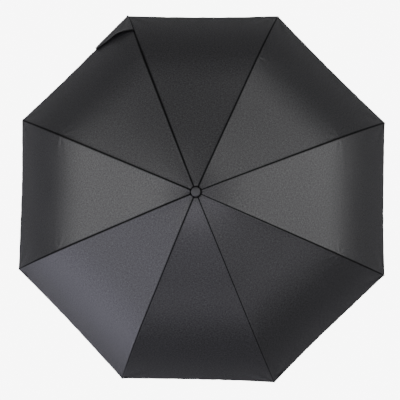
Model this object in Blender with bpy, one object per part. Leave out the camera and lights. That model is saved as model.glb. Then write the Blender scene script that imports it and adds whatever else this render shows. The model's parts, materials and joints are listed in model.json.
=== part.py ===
"""Compact folding umbrella, open: eight three-section ribs on a two-stage telescoping shaft.

The handle's end face is centred on the origin and the shaft runs up +Z. Shapes are drawn in
millimetres, each rib in the X-Z plane with X outwards, and become metres when they are placed.
A member's slope is its angle below the horizontal, in degrees.
"""

import math

import bmesh
import bpy
from mathutils import Matrix, Vector
from mathutils.geometry import convex_hull_2d, tessellate_polygon

MM = 0.001
ROUND = 20
ROUND_EYE = 10
ROUND_HOLE = 8
RIBS = 8
FIRST_RIB = 22.5
RIB_STEP = 360 / RIBS

# Linkage: pivots and lengths.
NOTCH_Z = 577.0
PIVOT_RADIUS = 10.0
TOP_LENGTH = 172.0
TOP_SLOPE = 17.0
STRETCHER_LENGTH = 93.0
MIDDLE_LENGTH = 180.0
MIDDLE_SLOPE = 20.5
OUTER_LENGTH = 185.0
OUTER_SLOPE = 39.5
OUTER_BULGE = 8.0
INNER_KNEE_RISE = 3.6
OUTER_KNEE_DROP = 3.4

# Linkage: sections.
CHANNEL_HALF = 2.1
CHANNEL_WALL = 0.6
TOP_CHANNEL = (5.0, 168.5, -1.5, 2.7)
MIDDLE_CHANNEL = (3.2, 178.0, -1.6, 1.6)
TONGUE_HALF = 1.1
LUG_INNER = 1.4
LUG_OUTER = 2.2
LUG_RADIUS = 1.9
EYE_RADIUS = 1.6
NOTCH_EYE_RADIUS = 2.0
RUNNER_EYE_RADIUS = 1.5
HOLE_RADIUS = 0.9
PIN_RADIUS = 0.6
RIVET_PROFILE = ((0, -2.6), (1.15, -2.6), (1.15, -1.8), (PIN_RADIUS, -1.8),
                 (PIN_RADIUS, 1.8), (1.15, 1.8), (1.15, 2.6), (0, 2.6))
STRETCHER_HALF_HEIGHT = 1.2
WIRE_RADIUS = 1.2
WIRE_START = 6.0
TIP_PROFILE = ((0, 0.5), (1.5, 0.5), (1.5, -6.5), (2.1, -6.5), (2.2, -1.0), (1.5, 2.0), (0, 2.8))

# Slotted wheels, with heights from their pivot circle.
SLOT_HALF = 1.5
SLOT_REACH = 14.0
SLOT_HALF_HEIGHT = 3.0
NOTCH_SLOT_FLOOR = 7.7
RUNNER_SLOT_FLOOR = 8.25
NOTCH_PROFILE = ((5.3, -9.0), (7.2, -9.0), (7.6, -8.4), (7.6, -2.6), (12.4, -2.6), (12.4, -0.9),
                 (9.1, -0.9), (9.1, 0.9), (12.4, 0.9), (12.4, 2.6), (9.0, 2.6), (9.0, 4.6), (5.3, 4.6))
RUNNER_PROFILE = ((7.45, -14.0), (10.6, -14.0), (11.0, -13.4), (11.0, -12.0), (9.6, -11.2),
                  (9.6, -3.4), (10.4, -2.6), (12.4, -2.6), (12.4, -0.9), (9.1, -0.9), (9.1, 0.9),
                  (12.4, 0.9), (12.4, 2.6), (8.2, 2.6), (8.2, 5.0), (7.45, 5.0))
RING_WIRE = 0.6

# Shaft: each tube as inner radius, outer radius, bottom and top.
LOWER_TUBE = (6.2, 7.0, 11.0, 238.0)
MIDDLE_TUBE = (5.35, 5.85, 194.0, 398.0)
UPPER_TUBE = (4.5, 5.0, 354.0, NOTCH_Z + 12.0)
LATCH_WINDOW = (2.6, 5.0, 8.0, 56.0, 63.5)
SPRING_RADIUS = 4.9
SPRING_WIRE = 0.45
SPRING_SPAN = (12.0, 192.0)
SPRING_TURNS = 12

# Top of the shaft, with heights from the notch's pivot circle.
CAP_PROFILE = ((5.3, 6.9), (9.6, 6.9), (10.0, 7.4), (10.0, 13.2), (9.3, 14.6), (8.3, 15.2),
               (0, 15.4), (0, 12.4), (5.3, 12.4))
WASHER_PROFILE = ((5.4, 6.1), (10.8, 6.1), (11.2, 6.35), (10.8, 6.6), (5.4, 6.6))

# Handle.
GRIP_PROFILE = ((15.5, 3.0), (16.3, 6.0), (17.5, 14.0), (17.5, 58.0), (16.8, 66.0), (15.2, 71.0),
                (13.8, 72.0), (7.4, 72.0), (7.4, 66.0), (15.2, 62.0), (15.2, 12.0), (13.6, 9.5),
                (13.6, 3.0))
END_CAP_PROFILE = ((0, 0), (14.7, 0), (15.2, 0.5), (15.2, 2.7), (13.2, 2.7), (13.2, 7.5), (9.4, 8.5),
                   (9.4, 20.0), (7.3, 20.0), (7.3, 10.5), (0, 10.5))
BUTTON_Z = 32.0
BUTTON_HOLE = 5.3
BUTTON_PROFILE = ((0, 18.6), (4.2, 18.6), (4.9, 17.9), (4.9, 13.4), (6.2, 13.4), (6.2, 12.6),
                  (1.6, 12.6), (1.6, 10.4), (0, 10.4))
BUTTON_SPRING = (2.9, 0.25, 10.75, 12.25, 2)
LATCH_PIVOT = (9.5, 46.0)
LATCH_HOLE = 0.95
LATCH_HALF = 3.5
LATCH_BAR = (8.9, 10.1, 28.5, 63.0)
LATCH_NOSE = (6.3, 9.4, 58.0, 61.5)
LATCH_NOSE_HALF = 2.0
LATCH_BOSS = 2.0
LATCH_PIN = (0.6, 7.5)
POST_SPAN = (5.2, 7.2)
POST_OUTLINE = ((8.0, 2.0), (11.0, 2.0), (11.0, 48.0), (10.2, 49.0), (8.8, 49.0), (8.0, 48.0))
LUG_CENTRE = (20.6, 3.9)
LOOP_LUG_RADIUS = 3.3
LOOP_LUG_HOLE = 1.9
LOOP_LUG_HALF = 2.0
CORD_RADIUS = 1.4
LOOP_HALF = ((0, 3.9), (3.0, 3.9), (5.6, 4.6), (7.6, 8.0), (8.0, 16.0), (7.6, 32.0), (8.4, 50.0),
             (6.2, 62.0), (0, 67.0))

# Canopy and strap.
CLOTH = 0.5
CLOTH_RISE = 6.2
CLOTH_RISE_AT_KNEE = 4.4
CLOTH_RISE_AT_TIP = 3.4
CLOTH_HUB = ((6.6, 5.2), (11.5, 5.2))
TOP_STATIONS = (4.0, 45.0, 90.0, 132.0, TOP_LENGTH)
MIDDLE_STATIONS = (45.0, 90.0, 135.0, MIDDLE_LENGTH - 3)
OUTER_STATIONS = (6.0, 36.0, 68.0, 100.0, 130.0, 158.0, 180.5)
PANEL_CELLS = 4
HEM_DIP = 7.0
STRAP_PANEL = 2
STRAP_BASE = 90.0
STRAP_END = 15.0
STRAP_REACH = 0.62
STRAP_TAIL = 16.0
STRAP_TAIL_FROM = 0.72
STRAP_LIFT = 2.4
STRAP_THICKNESS = 0.8
STRAP_CELLS = (7, 4)
# The snap's centre, a place towards the lower edge and one towards the free end.
SNAP_SPOTS = ((0.14, 0.5), (0.14, 0.7), (0.22, 0.5))
SNAP_GAP = 0.3
SNAP_PROFILE = ((0, 0), (4.6, 0), (4.6, 0.6), (2.4, 0.8), (2.2, 1.4), (0, 1.4))

CLOTH_BLACK = (0.03, 0.03, 0.034)
PLASTIC_BLACK = (0.02, 0.02, 0.022)
RUBBER_BLACK = (0.028, 0.028, 0.03)
STEEL = (0.62, 0.63, 0.65)
STEEL_DARK = (0.10, 0.10, 0.11)
SILVER = (0.72, 0.72, 0.74)
SOFT, GLOSSY, METAL = (0.85, 0.0), (0.38, 0.0), (0.3, 1.0)


def along(slope):
    return Vector((math.cos(math.radians(slope)), 0, -math.sin(math.radians(slope))))


def above(slope):
    return Vector((math.sin(math.radians(slope)), 0, math.cos(math.radians(slope))))


NOTCH = Vector((PIVOT_RADIUS, 0, NOTCH_Z))
ELBOW = NOTCH + STRETCHER_LENGTH * along(TOP_SLOPE)
RUNNER_Z = NOTCH_Z - 2 * STRETCHER_LENGTH * math.sin(math.radians(TOP_SLOPE))
INNER_KNEE = NOTCH + TOP_LENGTH * along(TOP_SLOPE) + INNER_KNEE_RISE * above(TOP_SLOPE)
MIDDLE_START = INNER_KNEE - INNER_KNEE_RISE * above(MIDDLE_SLOPE)
OUTER_KNEE = MIDDLE_START + MIDDLE_LENGTH * along(MIDDLE_SLOPE) - OUTER_KNEE_DROP * above(MIDDLE_SLOPE)
OUTER_START = OUTER_KNEE + OUTER_KNEE_DROP * above(OUTER_SLOPE)
ARC_RADIUS = OUTER_LENGTH**2 / (8 * OUTER_BULGE) + OUTER_BULGE / 2


# --- Shapes -------------------------------------------------------------------------------------

def solid(points, faces):
    mesh = bpy.data.meshes.new("shape")
    mesh.from_pydata([tuple(point) for point in points], [], faces)
    shape = bmesh.new()
    shape.from_mesh(mesh)
    bmesh.ops.recalc_face_normals(shape, faces=shape.faces)
    shape.to_mesh(mesh)
    shape.free()
    return mesh


def lathe(profile, segments):
    """A closed profile of (radius, height) turned about Z; a radius of 0 is a pole."""
    points, rings = [], []
    for radius, height in profile:
        if radius == 0:
            rings.append([len(points)] * (segments + 1))
            points.append((0, 0, height))
            continue
        start = len(points)
        for k in range(segments):
            angle = math.tau * k / segments
            points.append((radius * math.cos(angle), radius * math.sin(angle), height))
        rings.append([start + k % segments for k in range(segments + 1)])
    faces = []
    for ring, following in zip(rings, rings[1:] + rings[:1]):
        for k in range(segments):
            corners = (ring[k], ring[k + 1], following[k + 1], following[k])
            corners = list(dict.fromkeys(corners))
            if len(corners) > 2:
                faces.append(corners)
    return solid(points, faces)


def grid_faces(rows, columns, wrap_rows=False, wrap_columns=False):
    faces = []
    for i in range(rows if wrap_rows else rows - 1):
        for j in range(columns if wrap_columns else columns - 1):
            after, beside = (i + 1) % rows, (j + 1) % columns
            faces.append((i * columns + j, i * columns + beside,
                          after * columns + beside, after * columns + j))
    return faces


def tube_along(path, radius, sides, closed=False):
    """A round bar along a path, with its frame carried along without twist."""
    count = len(path)
    side = None
    points = []
    for i, place in enumerate(path):
        before = path[i - 1] if closed or i else path[0]
        after = path[(i + 1) % count] if closed or i < count - 1 else path[-1]
        tangent = (after - before).normalized()
        if side is None:
            side = tangent.orthogonal().normalized()
        side = (side - side.dot(tangent) * tangent).normalized()
        other = tangent.cross(side)
        for k in range(sides):
            angle = math.tau * k / sides
            points.append(place + radius * (math.cos(angle) * side + math.sin(angle) * other))
    faces = grid_faces(count, sides, closed, True)
    if not closed:
        faces += [list(range(sides)), [(count - 1) * sides + k for k in range(sides)]]
    return solid(points, faces)


def plate(outline, low, high, holes=()):
    """A flat shape of (x, z) points, thick from low to high in Y."""
    loops = [list(outline)] + [list(hole) for hole in holes]
    flat = [Vector((x, z, 0)) for loop in loops for x, z in loop]
    cells = tessellate_polygon([[Vector((x, z, 0)) for x, z in loop] for loop in loops])
    count = len(flat)
    points = [(p.x, low, p.y) for p in flat] + [(p.x, high, p.y) for p in flat]
    faces = [tuple(cell) for cell in cells] + [tuple(k + count for k in cell) for cell in cells]
    start = 0
    for loop in loops:
        size = len(loop)
        for k in range(size):
            a, b = start + k, start + (k + 1) % size
            faces.append((a, b, b + count, a + count))
        start += size
    return solid(points, faces)


def box(x0, x1, y0, y1, z0, z1):
    return plate(((x0, z0), (x1, z0), (x1, z1), (x0, z1)), y0, y1)


def arc(x, z, radius, start=0, end=360, steps=ROUND_HOLE):
    whole = end - start == 360
    spots = range(steps if whole else steps + 1)
    angles = [math.radians(start + (end - start) * k / steps) for k in spots]
    return [(x + radius * math.cos(a), z + radius * math.sin(a)) for a in angles]


def hull(points):
    return [points[k] for k in convex_hull_2d([Vector(point) for point in points])]


def combined(operation, base, others):
    """One mesh from a chain of exact Booleans, its helper objects removed again."""
    helpers = [bpy.data.objects.new("helper", mesh) for mesh in (base, *others)]
    for helper in helpers:
        bpy.context.collection.objects.link(helper)
    for other in helpers[1:]:
        modifier = helpers[0].modifiers.new("combine", "BOOLEAN")
        modifier.operation, modifier.solver, modifier.object = operation, "EXACT", other
    graph = bpy.context.evaluated_depsgraph_get()
    mesh = bpy.data.meshes.new_from_object(helpers[0].evaluated_get(graph))
    for helper in helpers:
        bpy.data.objects.remove(helper)
    return mesh


def joined(base, *others):
    return combined("UNION", base, others)


def cut(base, *others):
    return combined("DIFFERENCE", base, others)


def turned(mesh, matrix):
    mesh.transform(matrix)
    return mesh


# --- Placing ------------------------------------------------------------------------------------

def finish(colour, kind):
    name = f"finish_{len(bpy.data.materials)}"
    material = bpy.data.materials.new(name)
    material.use_nodes = True
    shader = material.node_tree.nodes["Principled BSDF"]
    shader.inputs["Base Color"].default_value = (*colour, 1)
    shader.inputs["Roughness"].default_value, shader.inputs["Metallic"].default_value = kind
    material.diffuse_color = (*colour, 1)
    return material


def add(name, mesh, colour, kind, origin=(0, 0, 0), smooth=35):
    """Places a mesh drawn in millimetres, with the object's origin at the given point."""
    origin = Vector(origin)
    mesh.transform(Matrix.Scale(MM, 4) @ Matrix.Translation(-origin))
    mesh.name = name
    mesh.materials.clear()
    mesh.materials.append(finish(colour, kind))
    mesh.shade_smooth()
    mesh.set_sharp_from_angle(angle=math.radians(smooth))
    thing = bpy.data.objects.new(name, mesh)
    thing.location = origin * MM
    bpy.context.collection.objects.link(thing)


def azimuth(rib):
    return math.radians(FIRST_RIB + RIB_STEP * rib)


def add_around(name, mesh, slope, start, pivot, colour, kind):
    """Eight copies of a member drawn from its own start, turned to its slope about the pivot."""
    in_plane = Matrix.Translation(start) @ Matrix.Rotation(math.radians(slope), 4, "Y")
    for rib in range(RIBS):
        spin = Matrix.Rotation(azimuth(rib), 4, "Z")
        copy = turned(mesh.copy(), spin @ in_plane)
        add(f"{name}_{rib + 1}", copy, colour, kind, spin @ pivot)


# --- Linkage ------------------------------------------------------------------------------------

def channel(span):
    """A U-section, open below, from span's start to its end."""
    x0, x1, z0, z1 = span
    inner, roof = CHANNEL_HALF - CHANNEL_WALL, z1 - CHANNEL_WALL
    section = ((-CHANNEL_HALF, z0), (-inner, z0), (-inner, roof), (inner, roof), (inner, z0),
               (CHANNEL_HALF, z0), (CHANNEL_HALF, z1), (-CHANNEL_HALF, z1))
    return turned(plate(section, -x1, -x0), Matrix.Rotation(math.radians(90), 4, "Z"))


def rivet(x, z):
    lying = Matrix.Rotation(math.radians(90), 4, "X")
    return turned(lathe(RIVET_PROFILE, 6), Matrix.Translation((x, 0, z)) @ lying)


def tongue(eye, radius, rest):
    """A flat tongue with its eye at one end, widening to the points it is fixed at."""
    outline = hull(arc(*eye, radius, steps=ROUND_EYE) + list(rest))
    return plate(outline, -TONGUE_HALF, TONGUE_HALF, [arc(*eye, HOLE_RADIUS)])


def lugs(x, z, rest):
    outline = hull(arc(x, z, LUG_RADIUS, steps=ROUND_EYE) + list(rest))
    return [plate(outline, LUG_INNER, LUG_OUTER), plate(outline, -LUG_OUTER, -LUG_INNER)]


def top_rib():
    start, end, low, high = TOP_CHANNEL
    root = tongue((0, 0), NOTCH_EYE_RADIUS,
                  ((start, -1.3), (start + 7, -1.3), (start + 7, high - 0.3), (start, high - 0.3)))
    knee = lugs(TOP_LENGTH, INNER_KNEE_RISE,
                ((end - 6, low + 0.3), (end - 6, high - 0.3), (end + 1.5, low + 0.3)))
    return joined(channel(TOP_CHANNEL), root, *knee, rivet(STRETCHER_LENGTH, 0),
                  rivet(TOP_LENGTH, INNER_KNEE_RISE))


def stretcher():
    half = STRETCHER_HALF_HEIGHT
    lean = math.degrees(math.asin(half / EYE_RADIUS))
    runner_lean = math.degrees(math.asin(half / RUNNER_EYE_RADIUS))
    outline = arc(0, 0, EYE_RADIUS, lean, 360 - lean)
    outline += arc(STRETCHER_LENGTH, 0, RUNNER_EYE_RADIUS, runner_lean - 180, 180 - runner_lean)
    holes = [arc(0, 0, HOLE_RADIUS), arc(STRETCHER_LENGTH, 0, HOLE_RADIUS)]
    return plate(outline, -TONGUE_HALF, TONGUE_HALF, holes)


def middle_rib():
    start, end, low, high = MIDDLE_CHANNEL
    root = tongue((0, INNER_KNEE_RISE), EYE_RADIUS,
                  ((start + 1, low + 0.3), (start + 8, low + 0.3), (start + 8, high - 0.3)))
    knee = lugs(MIDDLE_LENGTH, -OUTER_KNEE_DROP,
                ((end - 7, low + 0.3), (end - 7, high - 0.3), (end + 0.5, high - 0.3)))
    return joined(channel(MIDDLE_CHANNEL), root, *knee, rivet(MIDDLE_LENGTH, -OUTER_KNEE_DROP))


def outer_line(x):
    """Height of the outer rib's arc above its chord."""
    return math.sqrt(ARC_RADIUS**2 - (x - OUTER_LENGTH / 2) ** 2) - ARC_RADIUS + OUTER_BULGE


def outer_lean(x):
    """The arc's own slope against its chord, in degrees below it."""
    return math.degrees(math.asin((x - OUTER_LENGTH / 2) / ARC_RADIUS))


def outer_rib():
    neck, end, steps = 4.2, 12.0, 10
    root = tongue((0, -OUTER_KNEE_DROP), EYE_RADIUS,
                  ((neck, outer_line(neck) - 1), (end, outer_line(end) - 0.9),
                   (end, outer_line(end) + 0.9), (neck, outer_line(neck) + 1)))
    reach = OUTER_LENGTH - WIRE_START
    spots = [WIRE_START + reach * k / steps for k in range(steps + 1)]
    wire = tube_along([Vector((x, 0, outer_line(x))) for x in spots], WIRE_RADIUS, 6)
    return joined(root, wire)


def rib_tip():
    upright = lathe(TIP_PROFILE, 8)
    lying = Matrix.Rotation(math.radians(90 + outer_lean(OUTER_LENGTH)), 4, "Y")
    return turned(upright, Matrix.Translation((OUTER_LENGTH, 0, 0)) @ lying)


def add_ribs():
    add_around("top_rib", top_rib(), TOP_SLOPE, NOTCH, NOTCH, STEEL_DARK, METAL)
    add_around("stretcher", stretcher(), 180 - TOP_SLOPE, ELBOW, ELBOW, STEEL, METAL)
    add_around("middle_rib", middle_rib(), MIDDLE_SLOPE, MIDDLE_START, INNER_KNEE, STEEL_DARK, METAL)
    add_around("outer_rib", outer_rib(), OUTER_SLOPE, OUTER_START, OUTER_KNEE, STEEL_DARK, METAL)
    add_around("rib_tip", rib_tip(), OUTER_SLOPE, OUTER_START, OUTER_KNEE, STEEL_DARK, GLOSSY)


# --- Shaft --------------------------------------------------------------------------------------

def slots(floor):
    cutters = bmesh.new()
    for rib in range(RIBS):
        cutter = box(floor, SLOT_REACH, -SLOT_HALF, SLOT_HALF, -SLOT_HALF_HEIGHT, SLOT_HALF_HEIGHT)
        cutters.from_mesh(turned(cutter, Matrix.Rotation(azimuth(rib), 4, "Z")))
    mesh = bpy.data.meshes.new("slots")
    cutters.to_mesh(mesh)
    cutters.free()
    return mesh


def circle_path(radius, steps):
    return [Vector((radius * math.cos(math.tau * k / steps), radius * math.sin(math.tau * k / steps), 0))
            for k in range(steps)]


def helix(radius, low, high, turns, steps):
    count = turns * steps
    return [Vector((radius * math.cos(math.tau * k / steps), radius * math.sin(math.tau * k / steps),
                    low + (high - low) * k / count)) for k in range(count + 1)]


def lifted(mesh, height):
    return turned(mesh, Matrix.Translation((0, 0, height)))


def tube(inner, outer, bottom, top):
    bevel = (outer - inner) / 4
    return lathe(((inner, bottom), (outer - bevel, bottom), (outer, bottom + bevel),
                  (outer, top - bevel), (outer - bevel, top), (inner, top)), ROUND)


def add_shaft():
    half, near, far, low, high = LATCH_WINDOW
    window = box(-half, half, -far, -near, low, high)
    add("lower_tube", cut(tube(*LOWER_TUBE), window), SILVER, METAL)
    add("middle_tube", tube(*MIDDLE_TUBE), SILVER, METAL)
    add("upper_tube", tube(*UPPER_TUBE), SILVER, METAL)
    coil = helix(SPRING_RADIUS, *SPRING_SPAN, SPRING_TURNS, 9)
    add("opening_spring", tube_along(coil, SPRING_WIRE, 4), STEEL, METAL)
    notch = cut(lathe(NOTCH_PROFILE, ROUND), slots(NOTCH_SLOT_FLOOR))
    ring = tube_along(circle_path(PIVOT_RADIUS, 24), RING_WIRE, 5, closed=True)
    add("top_notch", lifted(notch, NOTCH_Z), PLASTIC_BLACK, GLOSSY, (0, 0, NOTCH_Z))
    add("notch_ring", lifted(ring.copy(), NOTCH_Z), STEEL, METAL, (0, 0, NOTCH_Z))
    runner = cut(lathe(RUNNER_PROFILE, ROUND), slots(RUNNER_SLOT_FLOOR))
    first_eye = Vector((PIVOT_RADIUS, 0, RUNNER_Z))
    first_eye.rotate(Matrix.Rotation(azimuth(0), 3, "Z"))
    add("runner", lifted(runner, RUNNER_Z), PLASTIC_BLACK, GLOSSY, first_eye)
    add("runner_ring", lifted(ring, RUNNER_Z), STEEL, METAL, first_eye)
    add("canopy_washer", lifted(lathe(WASHER_PROFILE, ROUND), NOTCH_Z), CLOTH_BLACK, SOFT)
    add("cap", lifted(lathe(CAP_PROFILE, 28), NOTCH_Z), PLASTIC_BLACK, GLOSSY)


# --- Handle -------------------------------------------------------------------------------------

def facing(degrees):
    """Turns a shape drawn with X outwards to the given side of the handle."""
    return Matrix.Rotation(math.radians(degrees), 4, "Z")


def sideways(degrees, height):
    """Turns a shape drawn about Z so that it points outwards at that height."""
    return facing(degrees) @ Matrix.Translation((0, 0, height)) @ Matrix.Rotation(math.radians(90), 4, "Y")


def end_cap():
    near, far = POST_SPAN
    eye = [arc(*LATCH_PIVOT, LATCH_HOLE)]
    posts = [plate(POST_OUTLINE, near, far, eye), plate(POST_OUTLINE, -far, -near, eye)]
    x, z = LUG_CENTRE
    foot = x - LOOP_LUG_RADIUS
    outline = [(12.0, 0.6)] + arc(x, z, LOOP_LUG_RADIUS, -90, 180) + [(foot, 2.4), (12.0, 2.4)]
    lug = plate(outline, -LOOP_LUG_HALF, LOOP_LUG_HALF, [arc(x, z, LOOP_LUG_HOLE, steps=ROUND_EYE)])
    posts = [turned(post, facing(-90)) for post in posts]
    return joined(lathe(END_CAP_PROFILE, 24), *posts, turned(lug, facing(90)))


def latch_lever():
    x0, x1, z0, z1 = LATCH_BAR
    bar = box(x0, x1, -LATCH_HALF, LATCH_HALF, z0, z1)
    boss = plate(arc(*LATCH_PIVOT, LATCH_BOSS, steps=ROUND_EYE), 0.2 - LATCH_HALF, LATCH_HALF - 0.2)
    x0, x1, z0, z1 = LATCH_NOSE
    nose = box(x0, x1, -LATCH_NOSE_HALF, LATCH_NOSE_HALF, z0, z1)
    bore = plate(arc(*LATCH_PIVOT, LATCH_HOLE), -LATCH_HALF - 1, LATCH_HALF + 1)
    return turned(cut(joined(bar, boss, nose), bore), facing(-90))


def loop_path():
    """The cord's centre line: half the loop and its mirror, rounded through the points."""
    right = [Vector((x, LUG_CENTRE[0], z)) for x, z in LOOP_HALF]
    left = [Vector((-p.x, p.y, p.z)) for p in reversed(right[1:-1])]
    knots = right + left
    path = []
    for i in range(len(knots)):
        a, b, c, d = (knots[(i + k) % len(knots)] for k in (-1, 0, 1, 2))
        for t in (0, 0.5):
            path.append(0.5 * (2 * b + (c - a) * t + (2 * a - 5 * b + 4 * c - d) * t**2
                               + (3 * b - a - 3 * c + d) * t**3))
    return path


def add_handle():
    bore = turned(lathe(((0, 12), (BUTTON_HOLE, 12), (BUTTON_HOLE, 20), (0, 20)), ROUND),
                  sideways(-90, BUTTON_Z))
    add("handle_grip", cut(lathe(GRIP_PROFILE, 28), bore), RUBBER_BLACK, SOFT)
    add("handle_end_cap", end_cap(), PLASTIC_BLACK, GLOSSY)
    depth, height = LATCH_PIVOT
    pivot = (0, -depth, height)
    add("latch_lever", latch_lever(), STEEL, METAL, pivot)
    radius, half = LATCH_PIN
    pin = lathe(((0, -half), (radius, -half), (radius, half), (0, half)), ROUND_HOLE)
    across = Matrix.Translation(pivot) @ Matrix.Rotation(math.radians(90), 4, "Y")
    add("latch_pin", turned(pin, across), STEEL, METAL)
    button = turned(lathe(BUTTON_PROFILE, ROUND), sideways(-90, BUTTON_Z))
    add("push_button", button, STEEL_DARK, GLOSSY, (0, -BUTTON_PROFILE[0][1], BUTTON_Z))
    radius, wire, low, high, turns = BUTTON_SPRING
    coil = tube_along(helix(radius, low, high, turns, 10), wire, 4)
    add("button_spring", turned(coil, sideways(-90, BUTTON_Z)), STEEL, METAL)
    loop = tube_along(loop_path(), CORD_RADIUS, 6, closed=True)
    add("wrist_loop", loop, CLOTH_BLACK, SOFT, (0, *LUG_CENTRE))


# --- Canopy -------------------------------------------------------------------------------------

def cloth_profile(lift):
    """The cloth's line over a rib, from the hub to the tip, raised by lift."""
    line = [Vector((radius, 0, NOTCH_Z + height + lift)) for radius, height in CLOTH_HUB]
    for x in TOP_STATIONS:
        line.append(NOTCH + x * along(TOP_SLOPE) + (CLOTH_RISE + lift) * above(TOP_SLOPE))
    for x in MIDDLE_STATIONS:
        rise = CLOTH_RISE + (CLOTH_RISE_AT_KNEE - CLOTH_RISE) * x / MIDDLE_LENGTH
        line.append(MIDDLE_START + x * along(MIDDLE_SLOPE) + (rise + lift) * above(MIDDLE_SLOPE))
    for x in OUTER_STATIONS:
        rise = CLOTH_RISE_AT_KNEE + (CLOTH_RISE_AT_TIP - CLOTH_RISE_AT_KNEE) * x / OUTER_LENGTH
        foot = OUTER_START + x * along(OUTER_SLOPE) + outer_line(x) * above(OUTER_SLOPE)
        line.append(foot + (rise + lift) * above(OUTER_SLOPE + outer_lean(x)))
    return line


def across_panel(point, rib, share):
    """A rib-plane point carried straight across a panel, from one rib (0) to the next (1)."""
    first = Matrix.Rotation(azimuth(rib), 4, "Z") @ point
    second = Matrix.Rotation(azimuth(rib + 1), 4, "Z") @ point
    return first.lerp(second, share)


def cloth_point(line, row, rib, share):
    """A point of the cloth; between the ribs it is drawn in towards the hub, most at the hem."""
    pull = HEM_DIP * (row / (len(line) - 1)) ** 4 * 4 * share * (1 - share)
    inward = (line[row - 1] - line[row]).normalized() if row else Vector()
    return across_panel(line[row] + pull * inward, rib, share)


def canopy():
    sheets = []
    for lift in (0, CLOTH):
        line = cloth_profile(lift)
        sheets.append([cloth_point(line, row, rib, cell / PANEL_CELLS)
                       for row in range(len(line)) for rib in range(RIBS)
                       for cell in range(PANEL_CELLS)])
    rows, columns = len(cloth_profile(0)), RIBS * PANEL_CELLS
    count = rows * columns
    under = grid_faces(rows, columns, wrap_columns=True)
    faces = under + [tuple(k + count for k in face) for face in under]
    for edge in (0, (rows - 1) * columns):
        for k in range(columns):
            a, b = edge + k, edge + (k + 1) % columns
            faces.append((a, b, b + count, a + count))
    return solid(sheets[0] + sheets[1], faces)


def strap_point(across, down, lift):
    """A point of the strap: across from the seam (0) to its free end (1), down from its upper
    edge (0) to its lower edge (1), which hangs over the hem near the free end."""
    line = cloth_profile(CLOTH + lift)
    share = across * STRAP_REACH / 2
    hem = cloth_point(line, len(line) - 1, STRAP_PANEL, share)
    before = cloth_point(line, len(line) - 2, STRAP_PANEL, share)
    width = STRAP_BASE + (STRAP_END - STRAP_BASE) * across
    tail = STRAP_TAIL if across > STRAP_TAIL_FROM else 0
    distance = width - down * (width + tail)
    if distance <= 0:
        fall = ((hem - before).normalized() + Vector((0, 0, -0.5))).normalized()
        return hem - distance * fall
    for row in range(len(line) - 2, 0, -1):
        step = (hem - before).length
        if distance <= step:
            break
        distance -= step
        hem, before = before, cloth_point(line, row - 1, STRAP_PANEL, share)
    return hem.lerp(before, distance / (hem - before).length)


def closing_strap():
    columns, rows = STRAP_CELLS
    points = [strap_point(i / columns, j / rows, lift)
              for lift in (STRAP_LIFT, STRAP_LIFT + STRAP_THICKNESS)
              for i in range(columns + 1) for j in range(rows + 1)]
    count = (columns + 1) * (rows + 1)
    under = grid_faces(columns + 1, rows + 1)
    faces = under + [tuple(k + count for k in face) for face in under]
    rim = [(i * (rows + 1)) for i in range(columns + 1)]
    rim += [columns * (rows + 1) + j for j in range(1, rows + 1)]
    rim += [i * (rows + 1) + rows for i in range(columns - 1, -1, -1)]
    rim += [j for j in range(rows - 1, 0, -1)]
    for a, b in zip(rim, rim[1:] + rim[:1]):
        faces.append((a, b, b + count, a + count))
    return solid(points, faces)


def add_cloth():
    add("canopy", canopy(), CLOTH_BLACK, SOFT, smooth=20)
    base = strap_point(0, 1, STRAP_LIFT + STRAP_THICKNESS / 2)
    add("closing_strap", closing_strap(), CLOTH_BLACK, SOFT, base)
    spot, edge, beside = (strap_point(a, d, STRAP_LIFT) for a, d in SNAP_SPOTS)
    normal = (edge - spot).cross(beside - spot).normalized()
    normal = normal if normal.z < 0 or normal.dot(spot) < 0 else -normal
    stand = Matrix.Translation(spot + SNAP_GAP * normal) @ normal.to_track_quat("Z", "Y").to_matrix().to_4x4()
    add("strap_snap", turned(lathe(SNAP_PROFILE, 10), stand), STEEL, METAL, base)


def main():
    for thing in list(bpy.data.objects):
        bpy.data.objects.remove(thing)
    add_ribs()
    add_shaft()
    add_handle()
    add_cloth()


main()
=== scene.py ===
"""Looks for the folding umbrella: cloth, stitching, materials, light and camera around its frame."""

import json
import math

import bpy
import numpy as np
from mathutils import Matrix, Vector


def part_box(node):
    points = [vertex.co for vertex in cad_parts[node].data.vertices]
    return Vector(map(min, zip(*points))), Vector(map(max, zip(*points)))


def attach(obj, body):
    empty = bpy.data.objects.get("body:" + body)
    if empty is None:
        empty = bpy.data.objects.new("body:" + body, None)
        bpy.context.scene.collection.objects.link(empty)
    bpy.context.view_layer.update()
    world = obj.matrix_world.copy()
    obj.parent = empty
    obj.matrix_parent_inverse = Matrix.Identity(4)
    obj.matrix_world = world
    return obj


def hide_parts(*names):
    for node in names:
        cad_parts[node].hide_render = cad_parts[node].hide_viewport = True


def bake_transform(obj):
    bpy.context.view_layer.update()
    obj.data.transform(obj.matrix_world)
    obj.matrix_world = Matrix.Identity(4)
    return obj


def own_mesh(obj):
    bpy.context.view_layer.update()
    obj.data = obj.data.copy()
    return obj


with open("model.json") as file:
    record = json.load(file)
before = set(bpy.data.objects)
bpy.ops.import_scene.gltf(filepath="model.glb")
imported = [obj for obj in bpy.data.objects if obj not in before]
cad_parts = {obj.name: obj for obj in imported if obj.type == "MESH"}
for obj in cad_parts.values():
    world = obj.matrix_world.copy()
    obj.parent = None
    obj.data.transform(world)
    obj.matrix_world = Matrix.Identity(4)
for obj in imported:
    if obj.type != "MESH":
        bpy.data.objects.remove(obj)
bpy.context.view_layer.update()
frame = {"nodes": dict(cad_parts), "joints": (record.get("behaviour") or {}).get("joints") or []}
JOINTS = {joint["name"]: joint for joint in frame["joints"]}
MM = 0.001
RIBS = 8
HALF = math.pi / RIBS

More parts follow.
